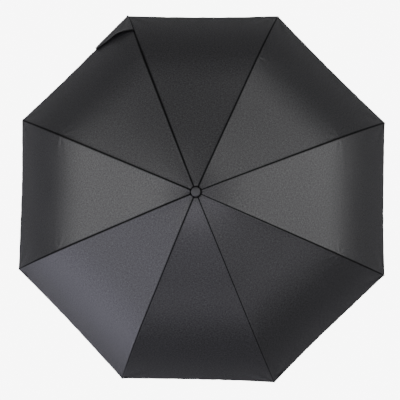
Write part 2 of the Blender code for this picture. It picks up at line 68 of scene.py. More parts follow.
# Cloth: how it is divided, its tension when relaxed, and its hem. Lengths in millimetres.
RELAX_ROWS = 56
RELAX_COLUMNS = 20
WARP_PULL = 0.07
HEM_PULL = 155.0
FLAT_COLUMNS = 14
SEAM_COLUMNS = (0.0, 1.1, 2.2, 3.6, 5.6, 8.0)
PATCH = 8.0
HUB_EDGE = 15.0
NECK_EDGE = 34.0
LAP = 0.8
HEM_FOLD = 9.0
HEM_THICKNESS = 0.9
ROW_STEP = 5.0
HEM_WAVE = 0.55

# Small folds. Waves: number, height, and the steepest turn across and along, per millimetre.
# Gathers at the tip and at the outer joint: reach, height, folds. Then the folds at the cap.
WAVES = (5, 0.35, 0.022, 0.016)
TIP_GATHERS = (46, 0.9, 7)
JOINT_GATHERS = (26, 0.45, 6)
CAP_FOLDS_RADIUS = 16.5
CAP_FOLDS_REACH = 4.5
TURN = 6.28

# A seam: its groove and the ridge beside it, each as height, distance from the rib and reach.
SEAM_GROOVE = (-0.45, 0.0, 1.0)
SEAM_RIDGE = (0.3, 3.0, 1.5)
FLAT_RADIUS = 12
FULL_FOLDS_SPAN = 30
LIFT_SLANT = 0.45

# How broad the painted shade along each rib's seam is at the hub, at the outer joint and at the hem; it
# differs per rib with how the light falls on each seam.
SEAM_SHADE_BREADTH = ((1.0, 1.8, 1.4), (1.4, 1.5, 1.1), (1.3, 2.3, 1.0), (1.3, 1.9, 1.5),
                (1.4, 1.6, 0.9), (1.2, 1.0, 0.4), (0.9, 0.6, 0.4), (0.7, 1.4, 1.2))

# Strap: the rib it is sewn to, its outline, and its height over the cloth.
STRAP_RIB = 3
STRAP_BASE = 90.0
STRAP_END = 15.0
STRAP_REACH = 0.31
STRAP_TAIL = 15.0
STRAP_TAIL_FROM = 0.70
STRAP_RISE = 2.6
STRAP_THICK = 1.1
STRAP_CURVE = 0.75
STRAP_ARCH = 6.5
STRAP_LENGTH = 115
STRAP_CELLS = (40, 26)
WELT_SHARE = 0.012

# Studio, in metres: brightness of the backdrop, light from the horizon and from overhead, floor and
# camera. Each light: name, degrees around from +X, degrees down from overhead, distance, width and
# height, brightness, colour.
WHITE = 8.0
AMBIENT = (0.05, 0.42)
FLOOR_HALF = 30.0
FLOOR_DROP = 0.001
CAMERA_PLACE = (0.0652, -0.0647, 1.9326)
CAMERA_TURN = (0.0360, 0.0412, 0.0141)
CAMERA_LENS = 57.84
SENSOR = 36.0
COOL = (0.84, 0.82, 1.0)
LIGHTS = (
    ("softbox_right", 6, 58, 3.4, (2.7, 1.1), 6.6),
    ("softbox_left", 174, 52, 3.4, (3.0, 1.3), 5.9),
    ("window_low_left", 223, 75, 3.4, (1.8, 3.2), 3.8, COOL),
    ("overhead", 276, 22, 4.0, (2.8, 2.0), 4.4, (0.90, 0.87, 1.0)),
    ("softbox_far", 56, 45, 3.6, (2.1, 1.0), 4.4),
    ("under_canopy", 0, 180, 0.498, (0.7, 0.7), 1.5),
)


# --- The rib line and the panel surface, in millimetres -------------------------------------------

def joint_mm(name):
    return np.array(JOINTS[name]["pos_m"]) / MM


def azimuth(rib):
    x, y, _ = joint_mm("fold" if rib == 1 else f"top_hinge_{rib}")
    return math.atan2(y, x)


def in_plane(point):
    return np.array([math.hypot(point[0], point[1]), point[2]])


def rib_profile():
    """(radius, height) of the cloth's upper face over the first rib, from the hub to the tip."""
    node = frame["nodes"]["canopy"]
    points = np.unique(np.round([np.array(v.co) / MM for v in node.data.vertices], 3), axis=0)
    angle = np.arctan2(points[:, 1], points[:, 0])
    over = points[np.abs(angle - azimuth(1)) < 1e-3]
    line = np.array(sorted(tuple(in_plane(p)) for p in over))
    pairs = line.reshape(-1, 2, 2)
    return np.array([pair[np.argmax(pair[:, 1])] for pair in pairs])


PROFILE = rib_profile()
LENGTHS = np.concatenate([[0], np.cumsum(np.hypot(*np.diff(PROFILE, axis=0).T))])


def rib_line(s):
    """The smooth line through the profile's points, at length s from the hub."""
    s = np.clip(np.asarray(s, float), 0, LENGTHS[-1])
    k = np.clip(np.searchsorted(LENGTHS, s, side="right") - 1, 0, len(LENGTHS) - 2)
    slopes = np.gradient(PROFILE, LENGTHS, axis=0)
    step = (LENGTHS[k + 1] - LENGTHS[k])[..., None]
    t = ((s - LENGTHS[k]) / step[..., 0])[..., None]
    return ((2 * t**3 - 3 * t**2 + 1) * PROFILE[k] + (t**3 - 2 * t**2 + t) * step * slopes[k]
            + (3 * t**2 - 2 * t**3) * PROFILE[k + 1] + (t**3 - t**2) * step * slopes[k + 1])


FINE_S = np.linspace(0, LENGTHS[-1], 1200)
FINE_R = rib_line(FINE_S)[:, 0]
HEM_S = LENGTHS[-1]


def station(radius):
    return np.interp(radius, FINE_R, FINE_S)


def station_of(point):
    """The length along the rib line that lies nearest to a joint."""
    flat = in_plane(point)
    return FINE_S[np.argmin(np.hypot(*(rib_line(FINE_S) - flat).T))]


KNEE_1 = station_of(joint_mm("inner_knee_1"))
KNEE_2 = station_of(joint_mm("outer_knee_1"))
HUB_S, NECK_S = (float(station(edge)) for edge in (HUB_EDGE, NECK_EDGE))


def chord(s, w):
    """The straight span between two ribs; w runs from -1 on one to 1 on the next, middle along +X."""
    flat = rib_line(s)
    return np.stack([flat[..., 0] * math.cos(HALF), flat[..., 0] * math.sin(HALF) * w, flat[..., 1]], -1)


def relaxed():
    """How far the stretched cloth moves from the straight span: a net of pulling threads, solved
    once, its sides held by the ribs and its hem free."""
    rows, columns = RELAX_ROWS + 1, 2 * RELAX_COLUMNS + 1
    s = np.linspace(0, HEM_S, rows)
    w = np.linspace(-1, 1, columns)
    start = chord(s[:, None] + 0 * w, w[None, :] + 0 * s[:, None])
    free = -np.ones((rows, columns), int)
    free[1:, 1:-1] = np.arange((rows - 1) * (columns - 2)).reshape(rows - 1, columns - 2)
    count = free.max() + 1
    pulls, loads = np.zeros((count, count)), np.zeros((count, 3))
    along = s[1] - s[0]

    def thread(a, b, pull):
        for here, there in ((a, b), (b, a)):
            i, j = free[here], free[there]
            if i < 0:
                continue
            pulls[i, i] += pull
            if j < 0:
                loads[i] += pull * start[there]
            else:
                pulls[i, j] -= pull

    for i in range(1, rows):
        across = rib_line(s[i])[0] * 2 * math.sin(HALF) / (columns - 1)
        share = 0.5 if i == rows - 1 else 1.0
        hem = HEM_PULL / across if i == rows - 1 else 0
        for j in range(columns - 1):
            thread((i, j), (i, j + 1), share * along / across + hem)
        for j in range(1, columns - 1):
            thread((i - 1, j), (i, j), WARP_PULL * across / along)
    moved = start.copy()
    moved[1:, 1:-1] = np.linalg.solve(pulls, loads).reshape(rows - 1, columns - 2, 3)
    return moved - start


DRAPE = relaxed()


def drape(s, w):
    rows, columns = DRAPE.shape[0] - 1, DRAPE.shape[1] - 1
    a, b = np.clip(s / HEM_S, 0, 1) * rows, (w + 1) / 2 * columns
    i, j = np.clip(a.astype(int), 0, rows - 1), np.clip(b.astype(int), 0, columns - 1)
    u, v = (a - i)[..., None], (b - j)[..., None]
    return ((1 - u) * (1 - v) * DRAPE[i, j] + u * (1 - v) * DRAPE[i + 1, j]
            + (1 - u) * v * DRAPE[i, j + 1] + u * v * DRAPE[i + 1, j + 1])


def wrinkles(s, w, panel):
    """Small heights that make each panel a little different: soft waves, gathers at the tips and
    knees, a rippled hem."""
    rng = np.random.default_rng(40 + panel)
    radius = rib_line(s)[..., 0]
    u = radius * math.sin(HALF) * w
    middle = 1 - w**2
    height = np.zeros_like(u)
    count, size, across_turn, along_turn = WAVES
    for _ in range(count):
        a, b = rng.uniform(-across_turn, across_turn), rng.uniform(-along_turn, along_turn)
        phase = rng.uniform(0, TURN)
        height += size * middle * np.sin(a * u + b * s + phase)
    for side in (-1, 1):
        across = radius * math.sin(HALF) * (1 - side * w)
        for spot, (reach, size, folds) in ((HEM_S, TIP_GATHERS), (KNEE_2, JOINT_GATHERS)):
            away = np.hypot(across, s - spot)
            turn = np.arctan2(s - spot, across + 1e-6)
            phase = rng.uniform(0, TURN)
            fade = np.exp(-((away / reach) ** 2)) * (1 - np.exp(-away / 7))
            height += size * fade * np.sin(folds * turn + phase)
    to_hem = HEM_S - s
    ripple = rng.uniform(0.25, 0.6) * np.sin(u / rng.uniform(8, 11) + rng.uniform(0, TURN))
    return height + ripple * np.exp(-to_hem / 16) * middle


def gathers(radius, w, panel):
    """Small folds where the cloth is clamped under the cap."""
    rng = np.random.default_rng(70 + panel)
    size, turn, phase = rng.uniform(0.3, 1.0), rng.uniform(1.1, 2.0) * math.pi, rng.uniform(0, TURN)
    near = np.exp(-(((radius - CAP_FOLDS_RADIUS) / CAP_FOLDS_REACH) ** 2))
    return size * near * np.sin(turn * w + phase) * (1 - w**2)


def hem_wave(across, w, panel):
    """How far the hem's edge stands out or in, between the tips."""
    rng = np.random.default_rng(90 + panel)
    waves = [np.sin(across / rng.uniform(2.4, 5.0) + rng.uniform(0, TURN)) for _ in range(2)]
    return HEM_WAVE * sum(waves) * (1 - w**2)


def seam_height(distance):
    groove, ridge = (size * np.exp(-(((distance - spot) / reach) ** 2))
                     for size, spot, reach in (SEAM_GROOVE, SEAM_RIDGE))
    return groove + ridge


def smooth_surface(s, w, panel):
    place = chord(s, w) + drape(s, w)
    radius = rib_line(s)[..., 0]
    distance = radius * math.sin(HALF) * (1 - np.abs(w))
    fade = np.clip((radius - FLAT_RADIUS) / FULL_FOLDS_SPAN, 0, 1)
    off_seam = 1 - np.exp(-((distance / 6) ** 2))
    lift = (wrinkles(s, w, panel) * off_seam + seam_height(distance)) * fade
    return place, lift + gathers(radius, w, panel)


def surface(s, w, panel):
    """Points and normals of a panel's upper face, middle along +X."""
    s, w = np.broadcast_arrays(np.asarray(s, float), np.asarray(w, float))
    ds, dw = 1.2, 0.008
    s0, s1 = np.clip(s - ds, 0.5, HEM_S), np.clip(s + ds, 0, HEM_S)
    w0, w1 = np.clip(w - dw, -1, 1), np.clip(w + dw, -1, 1)

    def raised(s, w):
        place, lift = smooth_surface(s, w, panel)
        tilt = np.array([math.sin(LIFT_SLANT), 0, math.cos(LIFT_SLANT)])
        return place + lift[..., None] * tilt

    normal = np.cross(raised(s1, w) - raised(s0, w), raised(s, w1) - raised(s, w0))
    normal /= np.linalg.norm(normal, axis=-1, keepdims=True) + 1e-12
    return raised(s, w), np.where(normal[..., 2:] < 0, -normal, normal)


def spun(points, angle):
    c, s = math.cos(angle), math.sin(angle)
    turn = np.array([[c, -s, 0], [s, c, 0], [0, 0, 1]])
    return points @ turn.T


# --- Cloth pieces ---------------------------------------------------------------------------------

def spread(start, end, step=ROW_STEP):
    return list(np.linspace(start, end, max(2, round((end - start) / step) + 1)))


ROWS = {
    "hub": spread(0, HUB_S, 2.5),
    "neck": spread(HUB_S, NECK_S, 2.5),
    "top": spread(NECK_S, KNEE_1 - PATCH) + spread(KNEE_1 - PATCH, KNEE_1, 2)[1:],
    "middle": spread(KNEE_1, KNEE_1 + PATCH, 2) + spread(KNEE_1 + PATCH, KNEE_2 - PATCH)[1:]
    + spread(KNEE_2 - PATCH, KNEE_2, 2)[1:],
    "outer": spread(KNEE_2, KNEE_2 + PATCH, 2) + spread(KNEE_2 + PATCH, HEM_S - 12)[1:]
    + spread(HEM_S - 12, HEM_S, 3)[1:],
}
PATCH_ROWS = {
    1: spread(KNEE_1 - PATCH, KNEE_1 + PATCH, 2),
    2: spread(KNEE_2 - PATCH, KNEE_2 + PATCH, 2),
}


def skew(s):
    """How much a row leans from the hem's line (0) to a level line square to its rib (1). At a knee
    it is square to the sloping rib, so that the cloth folds there without a corner sticking out."""
    knots = [HUB_S, KNEE_1 - PATCH, KNEE_1 + PATCH, KNEE_2 - PATCH, KNEE_2 + PATCH, HEM_S]
    return np.interp(s, knots, [0, 0.90, 0.90, 0.60, 0.60, 0])


def half_grid(rows, columns=None):
    """Stations and shares across half a panel, from its rib (0) to its middle (1)."""
    rows = np.array(rows)[:, None]
    radius = rib_line(rows[:, 0])[:, 0][:, None]
    width = radius * math.sin(HALF)
    near = np.minimum(np.array(SEAM_COLUMNS)[None, :] / width, 0.4 * np.array(SEAM_COLUMNS) / PATCH)
    rest = near[:, -1:] + (1 - near[:, -1:]) * np.linspace(0, 1, FLAT_COLUMNS + 1)[None, 1:]
    share = np.concatenate([near, rest], axis=1)
    if columns is not None:
        share = share[:, columns]
    lean = skew(rows)
    reach = radius / (1 - math.sin(HALF) ** 2 * lean * share)
    stations = np.where(rows >= HEM_S - 1e-6, HEM_S, station(reach))
    stations = np.where(share < 1e-9, rows, stations)
    return stations, share


def hem_rows(points, normals):
    """The hem's edge and the strip turned under it, added as more rows."""
    outward = points[-1] - points[-2]
    outward /= np.linalg.norm(outward, axis=-1, keepdims=True)
    normal = normals[-1]
    inner = points[-1] - HEM_FOLD * outward
    fold = [points[-1] + 0.25 * outward - 0.25 * normal,
            points[-1] + 0.25 * outward - (HEM_THICKNESS - 0.25) * normal,
            points[-1] - 0.1 * outward - HEM_THICKNESS * normal,
            points[-1] - 0.5 * HEM_FOLD * outward - HEM_THICKNESS * normal,
            inner - (HEM_THICKNESS + 0.2) * normal, inner - 0.15 * normal]
    tilts = [outward + normal, outward - normal, -normal, -normal, -outward - normal, -outward]
    tilts = [t / np.linalg.norm(t, axis=-1, keepdims=True) for t in tilts]
    return np.concatenate([points, fold]), np.concatenate([normals, tilts])


def half_panel(rib, side, rows, columns=None, hem=False):
    """Points, normals and cloth coordinates of one rib's half panel."""
    stations, share = half_grid(rows, columns)
    panel = (rib if side > 0 else rib - 1) % RIBS
    w = (share - 1) * side
    points, normals = surface(stations, w, panel)
    if hem:
        outward = points[-1] - points[-2]
        outward /= np.linalg.norm(outward, axis=-1, keepdims=True)
        wave = hem_wave(points[..., 1], w, panel) * np.exp((stations - HEM_S) / 7)
        points = points + wave[..., None] * outward
        points, normals = hem_rows(points, normals)
    centre = azimuth(rib) + side * HALF
    seam = np.abs(points[..., 0]) * math.tan(HALF) - np.abs(points[..., 1])
    across = points[..., 1]
    turned = np.repeat(stations[-1:], len(points) - len(stations), axis=0)
    lengths = np.concatenate([stations, turned])
    if hem:
        extra = np.array([0.2, 0.6, 1.2, 1.2 + HEM_FOLD / 2, 1.2 + HEM_FOLD, 2 + HEM_FOLD])
        lengths[-6:] += extra[:, None]
    # The distance from the seam over this breadth places the painted seam shade in the cloth's material.
    seam_shade_breadth = np.interp(lengths, [HUB_S, KNEE_2, HEM_S], SEAM_SHADE_BREADTH[rib - 1])
    weave = np.stack([across, lengths, np.maximum(seam, 0) / seam_shade_breadth], -1)
    return spun(points, centre), spun(normals, centre), weave


def lapped(grid, axis, last, drop):
    """A grid with one more row or column, which slips a little under the neighbouring piece."""
    place, normal, cloth = (np.swapaxes(x, 0, axis) for x in grid)
    edge, inside = (-1, -2) if last else (0, 1)
    out = place[edge] - place[inside]
    out /= np.linalg.norm(out, axis=-1, keepdims=True)
    extra = place[edge] + LAP * out - drop * normal[edge], normal[edge], cloth[edge]
    order = (lambda a, b: [a, b[None]]) if last else (lambda a, b: [b[None], a])
    made = [np.concatenate(order(a, b)) for a, b in zip((place, normal, cloth), extra)]
    return tuple(np.swapaxes(x, 0, axis) for x in made)


def with_laps(grid, side, start=False, end=True):
    grid = lapped(grid, 1, True, 0.12)
    if side < 0:
        grid = lapped(grid, 1, False, 0.35)
    if start:
        grid = lapped(grid, 0, False, 0.12)
    return lapped(grid, 0, True, 0.12) if end else grid


def sheet(name, halves, blank=None, start=False, end=True):
    """A mesh from one or two half-panel grids; blank leaves out the cells of the knee patches."""
    points, normals, weave, faces = [], [], [], []
    base = 0
    for side, grid in halves:
        place, normal, cloth = with_laps(grid, side, start, end)
        shift = int(side < 0)
        rows, columns = place.shape[:2]
        index = base + np.arange(rows * columns).reshape(rows, columns)
        for i in range(rows - 1):
            for j in range(columns - 1):
                if blank is not None and blank(i, j - shift):
                    continue
                face = [index[i, j], index[i + 1, j], index[i + 1, j + 1], index[i, j + 1]]
                faces.append([int(k) for k in (face if side > 0 else face[::-1])])
        points.append(place.reshape(-1, 3))
        normals.append(normal.reshape(-1, 3))
        weave.append(cloth.reshape(-1, 3))
        base += rows * columns
    points, normals, weave = (np.concatenate(x) for x in (points, normals, weave))
    used = np.unique([k for face in faces for k in face])
    remap = -np.ones(len(points), int)
    remap[used] = np.arange(len(used))
    faces = [[int(remap[k]) for k in face] for face in faces]
    points, normals, weave = points[used], normals[used], weave[used]
    mesh = bpy.data.meshes.new(name)
    mesh.from_pydata((points * MM).tolist(), [], faces)
    store = mesh.attributes.new("cloth", "FLOAT_VECTOR", "POINT")
    store.data.foreach_set("vector", (weave * MM).astype(np.float32).ravel())
    mesh.shade_smooth()
    mesh.normals_split_custom_set_from_vertices(normals.tolist())
    thing = bpy.data.objects.new(name, mesh)
    bpy.context.scene.collection.objects.link(thing)
    return thing


def blank_cells(rows, patch_rows):
    """Cells beside a knee that its patch covers."""
    last = len(SEAM_COLUMNS) - 1

    def blank(i, j):
        if j >= last or i >= len(rows) - 1:
            return False
        middle = (rows[i] + rows[i + 1]) / 2
        return any(p[0] < middle < p[-1] for p in patch_rows)

    return blank


def slope_direction(first, second, rib):
    """The unit direction between two of a rib's joints."""
    step = in_plane(second) - in_plane(first)
    step /= np.linalg.norm(step)
    a = azimuth(rib)
    return np.array([math.cos(a) * step[0], math.sin(a) * step[0], step[1]])


def sideways(rib, side, direction):
    """The direction in the panel's plane at a right angle to a rib's section."""
    a, b = azimuth(rib), azimuth(rib) + side * 2 * HALF
    span = np.array([math.cos(b) - math.cos(a), math.sin(b) - math.sin(a), 0])
    span -= (span @ direction) * direction
    return span / np.linalg.norm(span)


def dress(thing, material, slot, *nodes):
    thing.data.materials.append(material)
    if nodes:
        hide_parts(*nodes)
    return thing


def sections(rib):
    """Each section's body and the two ends of its rib."""
    hub = joint_mm("fold" if rib == 1 else f"top_hinge_{rib}")
    first, second = joint_mm(f"inner_knee_{rib}"), joint_mm(f"outer_knee_{rib}")
    low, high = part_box(f"rib_tip_{rib}")
    tip = np.array((low + high) / 2) / MM
    inner = (f"top_rib_{rib}", hub, first)
    return {"neck": inner, "top": inner, "middle": (f"middle_rib_{rib}", first, second),
            "outer": (f"outer_rib_{rib}", second, tip)}


def add_canopy(material):
    last = len(SEAM_COLUMNS)
    for rib in range(1, RIBS + 1):
        halves = [(side, half_panel(rib, side, ROWS["hub"])) for side in (-1, 1)]
        hub = sheet(f"canopy_hub_{rib}", halves)
        dress(hub, material, "black_cloth", "canopy")
        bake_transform(hub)
        for part, (body, start, end) in sections(rib).items():
            direction = slope_direction(start, end, rib)
            for side, word in ((-1, "right"), (1, "left")):
                rows = ROWS[part]
                grid = half_panel(rib, side, rows, hem=part == "outer")
                piece = sheet(f"canopy_{part}_{rib}_{word}", [(side, grid)],
                              blank_cells(rows, PATCH_ROWS.values()), end=part != "outer")
                dress(piece, material, "black_cloth", "canopy")
                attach(piece, body)
                tuple(sideways(rib, side, direction))
                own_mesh(piece)
        for knee, (inner, outer) in {1: ("top", "middle"), 2: ("middle", "outer")}.items():
            rows = PATCH_ROWS[knee]
            halves = [(side, half_panel(rib, side, rows, slice(0, last))) for side in (-1, 1)]
            patch = sheet(f"canopy_knee_{knee}_{rib}", halves, start=True)
            dress(patch, material, "black_cloth", "canopy")
            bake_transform(patch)


def strap_grid(across, rows, lift):
    """Points of the strap's face, lying over the corner of the panel beside its rib."""
    a, down = np.meshgrid(across, np.linspace(0, 1, rows + 1), indexing="ij")
    width = STRAP_BASE + (STRAP_END - STRAP_BASE) * a**STRAP_CURVE
    tail = STRAP_TAIL * np.clip((a - STRAP_TAIL_FROM) / 0.06, 0, 1)
    inside = width - (width + tail) * down
    w = -1 + 2 * STRAP_REACH * a
    panel = STRAP_RIB % RIBS
    place, normal = surface(HEM_S - np.maximum(inside, 0), w, panel)
    out = surface(HEM_S, w, panel)[0] - surface(HEM_S - 3, w, panel)[0]
    out /= np.linalg.norm(out, axis=-1, keepdims=True)
    beyond = np.maximum(-inside, 0)[..., None]
    fall = out + np.array([0, 0, -1.3]) * np.minimum(1, beyond / 5)
    fall /= np.linalg.norm(fall, axis=-1, keepdims=True)
    arch = STRAP_ARCH * np.sin(math.pi * np.clip(a / 0.8, 0, 1)) ** 2 * np.exp(-((down / 0.22) ** 2))
    rise = (STRAP_RISE + lift + arch)[..., None]
    return spun(place + rise * normal + beyond * fall, azimuth(STRAP_RIB) + HALF)


def strap_piece(name, across, rows, low, high):
    """A closed strip of strap webbing between two heights over the strap's underside."""
    under, over = strap_grid(across, rows, low), strap_grid(across, rows, high)
    columns = len(across) - 1
    count = (columns + 1) * (rows + 1)
    index = np.arange(count).reshape(columns + 1, rows + 1)
    faces = []
    for i in range(columns):
        for j in range(rows):
            corners = index[i, j], index[i, j + 1], index[i + 1, j + 1], index[i + 1, j]
            face = [int(k) for k in corners]
            faces += [[k + count for k in face], face[::-1]]
    rim = [*index[:, 0], *index[-1, 1:], *index[-2::-1, -1], *index[0, -2:0:-1]]
    for a, b in zip(rim, rim[1:] + rim[:1]):
        faces.append([int(a), int(a + count), int(b + count), int(b)])
    mesh = bpy.data.meshes.new(name)
    both = np.concatenate([under.reshape(-1, 3), over.reshape(-1, 3)])
    mesh.from_pydata((both * MM).tolist(), [], faces)
    a, b = np.meshgrid(across, np.linspace(0, 1, rows + 1), indexing="ij")
    tail = STRAP_TAIL * (a > STRAP_TAIL_FROM)
    width = STRAP_BASE + (STRAP_END - STRAP_BASE) * a**STRAP_CURVE + tail
    # The third value, the distance from the long edges, gets the same painted shade as a seam in the
    # cloth material.
    cloth = np.stack([a * STRAP_LENGTH, b * width, np.minimum(b, 1 - b) * width], -1).reshape(-1, 3) * MM
    store = mesh.attributes.new("cloth", "FLOAT_VECTOR", "POINT")
    store.data.foreach_set("vector", np.concatenate([cloth, cloth]).astype(np.float32).ravel())
    mesh.shade_smooth()
    mesh.set_sharp_from_angle(angle=math.radians(50))
    piece = bpy.data.objects.new(name, mesh)
    bpy.context.scene.collection.objects.link(piece)
    return piece


def add_strap(material):
    columns, rows = STRAP_CELLS
    strap = strap_piece("closing_strap_cloth", np.linspace(0, 1, columns + 1), rows, 0, STRAP_THICK)
    dress(strap, material, "black_cloth", "closing_strap")
    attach(strap, "strap")
    body, start, end = sections(STRAP_RIB)["outer"]
    direction = slope_direction(start, end, STRAP_RIB)
    tuple(sideways(STRAP_RIB, 1, direction))
    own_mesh(strap)
    welt = strap_piece("closing_strap_welt", np.linspace(0, WELT_SHARE, 3), rows,
                       -STRAP_RISE - 0.2, STRAP_THICK / 2)
    dress(welt, material, "black_cloth", "canopy")
    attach(welt, body)


# --- Materials ------------------------------------------------------------------------------------

class Nodes:
    """Short calls for building a material's nodes."""

    def __init__(self, name):
        self.material = bpy.data.materials.new(name)
        self.material.use_nodes = True
        self.tree = self.material.node_tree
        self.shader = self.tree.nodes["Principled BSDF"]

    def add(self, kind, inputs=(), **settings):
        node = self.tree.nodes.new(kind)
        for key, value in settings.items():
            setattr(node, key, value)
        for key, value in dict(inputs).items():
            self.put(node.inputs[key], value)
        return node

    def put(self, socket, value):
        if isinstance(value, bpy.types.NodeSocket):
            self.tree.links.new(value, socket)
        else:
            socket.default_value = value

    def math(self, operation, a, b=0.0, c=0.0, clamp=False):
        node = self.add("ShaderNodeMath", {0: a, 1: b, 2: c}, operation=operation, use_clamp=clamp)
        return node.outputs[0]

    def mix(self, share, a, b):
        node = self.add("ShaderNodeMix", {"Factor": share}, data_type="RGBA")
        self.put(node.inputs[6], a if isinstance(a, bpy.types.NodeSocket) else (*a, 1))
        self.put(node.inputs[7], b if isinstance(b, bpy.types.NodeSocket) else (*b, 1))
        return node.outputs[2]

    def ramp(self, value, start, end, low, high):
        return self.add("ShaderNodeMapRange", {0: value, 1: start, 2: end, 3: low, 4: high}).outputs[0]

    def pulse(self, value, centre, half):
        """1 at the centre, falling to 0 at half each side."""
        away = self.math("ABSOLUTE", self.math("SUBTRACT", value, centre))
        return self.math("SUBTRACT", 1.0, self.math("DIVIDE", away, half), clamp=True)

    def noise(self, vector, scale, detail=2.0, stretch=(1, 1, 1)):
        mapped = self.add("ShaderNodeMapping", {"Vector": vector, "Scale": stretch})
        inputs = {"Vector": mapped.outputs[0], "Scale": scale, "Detail": detail}
        return self.add("ShaderNodeTexNoise", inputs).outputs["Fac"]

    def bump(self, height, strength, distance, normal=None):
        inputs = {"Height": height, "Strength": strength, "Distance": distance}
        if normal is not None:
            inputs["Normal"] = normal
        return self.add("ShaderNodeBump", inputs).outputs[0]

    def finish(self, **inputs):
        for key, value in inputs.items():
            plain = isinstance(value, tuple) and len(value) == 3
            self.put(self.shader.inputs[key.replace("_", " ")], (*value, 1) if plain else value)
        return self.material


def cloth_material(name, dark, light, ribbed=False):
    """Plain-weave cloth: fine threads, uneven yarns, painted shade along the seams and in a ring round
    the clamped middle under the cap, and a stitched hem."""
    n = Nodes(name)
    place = n.add("ShaderNodeAttribute", attribute_name="cloth")
    across, along, seam = n.add("ShaderNodeSeparateXYZ", {0: place.outputs["Vector"]}).outputs
    flat = n.add("ShaderNodeCombineXYZ", {0: across, 1: along}).outputs[0]
    warp = n.noise(flat, 1.0, 2.0, (700, 160, 1))
    weft = n.noise(flat, 1.0, 2.0, (160, 700, 1))
    grain = n.noise(flat, 1.0, 3.0, (420, 420, 1))
    cloudy = n.noise(flat, 14.0, 3.0)
    threads = n.math("MULTIPLY", n.math("SINE", n.math("MULTIPLY", across, math.tau / 0.0009)),
                     n.math("SINE", n.math("MULTIPLY", along, math.tau / 0.0009)))
    yarn = n.math("ADD", n.math("ADD", warp, weft), grain)
    tone = n.math("MULTIPLY_ADD", n.math("SUBTRACT", yarn, 1.5), 2.2, 0.42)
    tone = n.math("ADD", tone, n.math("MULTIPLY", n.math("SUBTRACT", cloudy, 0.5), 0.15), clamp=True)
    # Painted shade along the seams, in the groove where the sewn panels meet.
    edge = n.ramp(seam, 0.0006, 0.0024, 0.05, 1.0)
    # Painted shade in a ring round the cap, where the clamped cloth dips under it; noise makes its rim
    # waver.
    clamped = n.math("MULTIPLY_ADD", n.math("SUBTRACT", cloudy, 0.5), 0.012, along)
    start, end = (float(station(radius)) * MM for radius in (11.5, 15.0))
    edge = n.math("MULTIPLY", edge, n.ramp(clamped, start, end, 0.06, 1.0))
    to_hem = n.math("SUBTRACT", HEM_S * MM, along)
    stitched = n.pulse(to_hem, HEM_FOLD * 0.8 * MM, 0.0005)
    dashes = n.math("SINE", n.math("MULTIPLY", across, math.tau / 0.0032))
    dashes = n.math("GREATER_THAN", dashes, -0.45)
    stitch = n.math("MULTIPLY", stitched, dashes)
    # shade darkens the colour: the painted seam shade, the painted shade round the cap, and the hem's
    # stitch line.
    shade = n.math("MULTIPLY", edge, n.math("MULTIPLY_ADD", stitched, -0.45, 1.0))
    colour = n.mix(shade, (0.003, 0.003, 0.003), n.mix(tone, dark, light))
    colour = n.mix(n.math("MULTIPLY", stitch, 0.35), colour, (0.04, 0.04, 0.042))
    height = n.math("ADD", n.math("MULTIPLY", threads, 0.25), yarn)
    height = n.math("ADD", height, n.math("MULTIPLY", stitched, -1.5))
    if ribbed:
        lines = n.math("SINE", n.math("MULTIPLY", along, math.tau / 0.006))
        height = n.math("ADD", height, n.math("MULTIPLY", lines, 2.2))
    normal = n.bump(height, 0.5, 0.00022)
    rough = n.math("MULTIPLY_ADD", grain, 0.16, 0.32)
    speck = n.noise(flat, 1.0, 2.0, (300, 380, 1))
    shine = n.math("MULTIPLY", shade, n.math("MULTIPLY_ADD", n.math("SUBTRACT", speck, 0.5), 0.9, 0.5))
    return n.finish(Base_Color=colour, Roughness=rough, Normal=normal, Specular_IOR_Level=shine,
                    Sheen_Weight=0.02, Sheen_Roughness=0.4)


def moulded(name, colour, rough, grain=2500.0, depth=0.00004):
    n = Nodes(name)
    place = n.add("ShaderNodeTexCoord").outputs["Object"]
    fine, broad = n.noise(place, grain, 2.0), n.noise(place, 60.0, 4.0)
    tone = n.mix(broad, tuple(0.8 * c for c in colour), tuple(1.25 * c for c in colour))
    worn = n.math("MULTIPLY_ADD", broad, 0.18, rough - 0.09)
    return n.finish(Base_Color=tone, Roughness=worn, Normal=n.bump(fine, 0.4, depth))


def metal(name, colour, rough, drawn=(1, 1, 1), metallic=1.0):
    n = Nodes(name)
    place = n.add("ShaderNodeTexCoord").outputs["Object"]
    lines = n.noise(place, 2600.0, 2.0, drawn)
    spots = n.noise(place, 90.0, 4.0)
    tone = n.mix(spots, tuple(0.9 * c for c in colour), tuple(min(1, 1.08 * c) for c in colour))
    worn = n.math("MULTIPLY_ADD", n.math("ADD", lines, spots), 0.06, rough - 0.06)
    return n.finish(Base_Color=tone, Roughness=worn, Metallic=metallic,
                    Normal=n.bump(lines, 0.1, 0.00001))


def cord_material():
    n = Nodes("braided_cord")
    place = n.add("ShaderNodeTexCoord").outputs["Object"]
    waves = []
    for turn in (0.8, -0.8):
        turned = n.add("ShaderNodeMapping", {"Vector": place, "Rotation": (0, turn, 0)}).outputs[0]
        inputs = {"Vector": turned, "Scale": 260.0, "Distortion": 0.6}
        waves.append(n.add("ShaderNodeTexWave", inputs).outputs["Fac"])
    braid = n.math("MULTIPLY", *waves)
    colour = n.mix(braid, (0.008, 0.008, 0.009), (0.045, 0.045, 0.048))
    return n.finish(Base_Color=colour, Roughness=0.8, Normal=n.bump(braid, 0.9, 0.0003))


